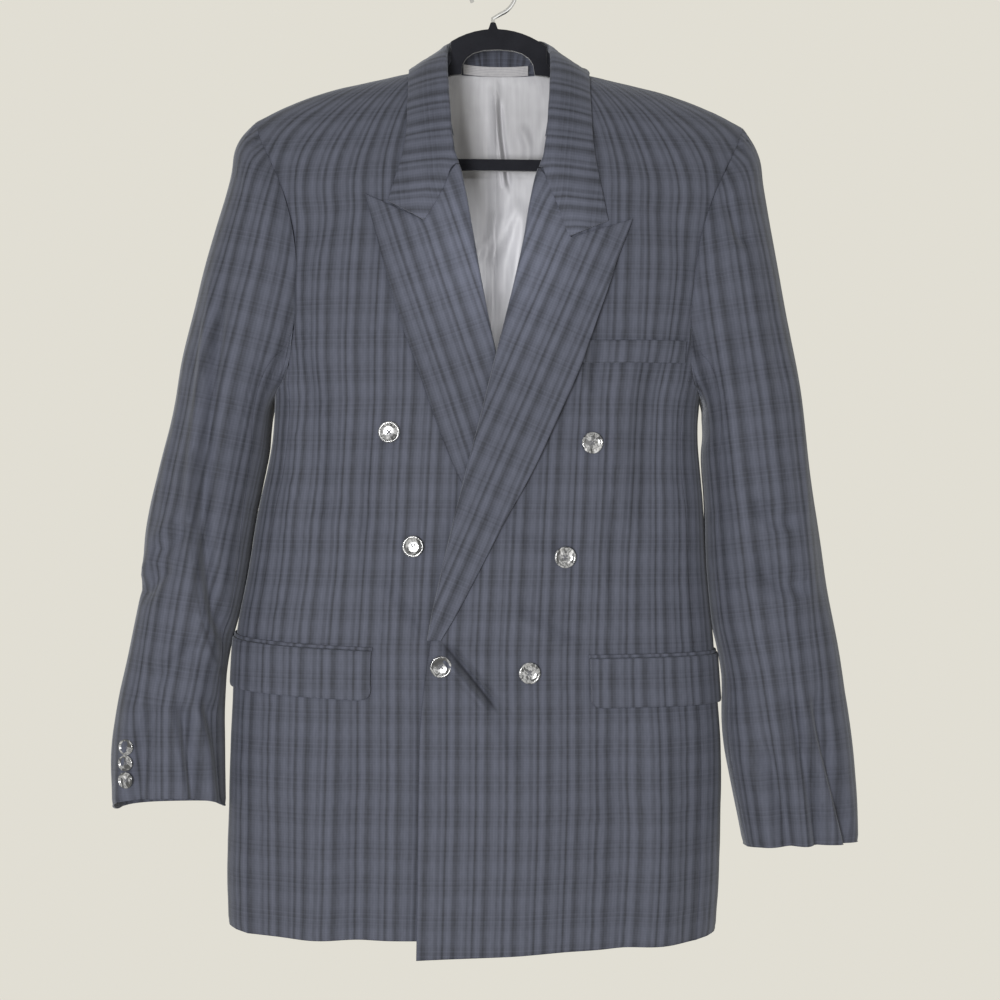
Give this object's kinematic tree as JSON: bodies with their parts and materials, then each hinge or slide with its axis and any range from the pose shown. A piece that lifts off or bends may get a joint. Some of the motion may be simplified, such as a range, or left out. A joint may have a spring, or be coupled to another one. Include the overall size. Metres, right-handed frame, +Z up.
{
  "type": "double breasted blazer on a clothes hanger",
  "caption": "Plaid double breasted blazer with peaked lapels and flap pockets, worn shape, hung empty on a flat hanger with a wire hook.",
  "frame": {"origin": "inside top of the hanger's hook, where it bears on a rail", "axes": "+Z up, -Y towards the front of the garment, +X towards the wearer's left side"},
  "size_m": [0.7079, 0.1436, 0.9432],
  "materials": {
    "cloth": "slate blue-grey plaid wool blend",
    "lining": "silver-grey satin",
    "tape": "pale woven tape",
    "button": "marbled smoky grey",
    "flocked_frame": "black flocked velvet",
    "hook": "polished wire"
  },
  "bodies": {
    "root": {"front_right": "cloth", "side_right": "cloth", "back_right": "cloth", "lapel_right": "cloth", "jet_right": "cloth", "flap_right": "cloth", "sleeve_top_right": "cloth", "sleeve_under_right": "cloth", "front_left": "cloth", "side_left": "cloth", "back_left": "cloth", "lapel_left": "cloth", "jet_left": "cloth", "flap_left": "cloth", "sleeve_top_left": "cloth", "sleeve_under_left": "cloth", "collar_leaf": "cloth", "collar_stand": "cloth", "breast_welt": "cloth", "back_lining": "lining", "hanging_loop": "tape", "front_button_1": "button", "front_button_2": "button", "front_button_3": "button", "front_button_4": "button", "front_button_5": "button", "front_button_6": "button", "sleeve_button_right_1": "button", "sleeve_button_right_2": "button", "sleeve_button_right_3": "button", "sleeve_button_left_1": "button", "sleeve_button_left_2": "button", "sleeve_button_left_3": "button", "hanger_frame": "flocked_frame", "hanger_hook": "hook"}
  },
  "joints": []
}
